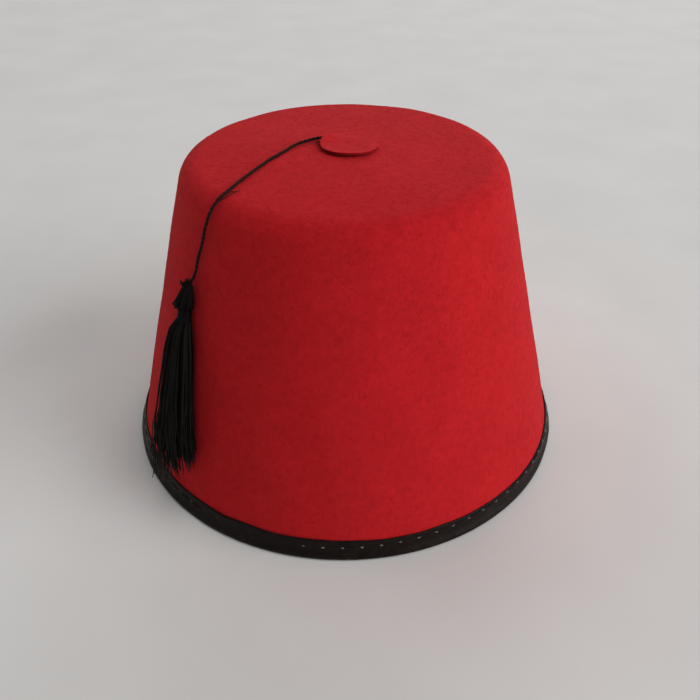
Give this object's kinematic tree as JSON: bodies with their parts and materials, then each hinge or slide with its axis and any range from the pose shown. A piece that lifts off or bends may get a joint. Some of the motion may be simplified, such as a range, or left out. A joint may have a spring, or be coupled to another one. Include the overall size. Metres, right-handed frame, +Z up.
{
  "type": "fez hat",
  "caption": "Stiff red felt fez: a hollow tapered crown with a nearly flat top, black bound rim, felt top button and a black tassel on a cord.",
  "frame": {"origin": "middle of the rim, on the surface that the hat stands on", "axes": "+Z up along the crown's axis, -Y towards the front of the hat, +X to the right seen from the front"},
  "size_m": [0.1906, 0.1906, 0.1283],
  "materials": {
    "red_felt": "matte pressed felt with short fibres",
    "black_leatherette": "satin grained strip with light stitches",
    "black_thread": "twisted and loose thread with a faint silky sheen"
  },
  "bodies": {
    "root": {"crown": "red_felt", "rim_binding": "black_leatherette", "top_button": "red_felt", "tassel_cord": "black_thread", "tassel_knot": "black_thread", "tassel_skirt": "black_thread"}
  },
  "joints": []
}
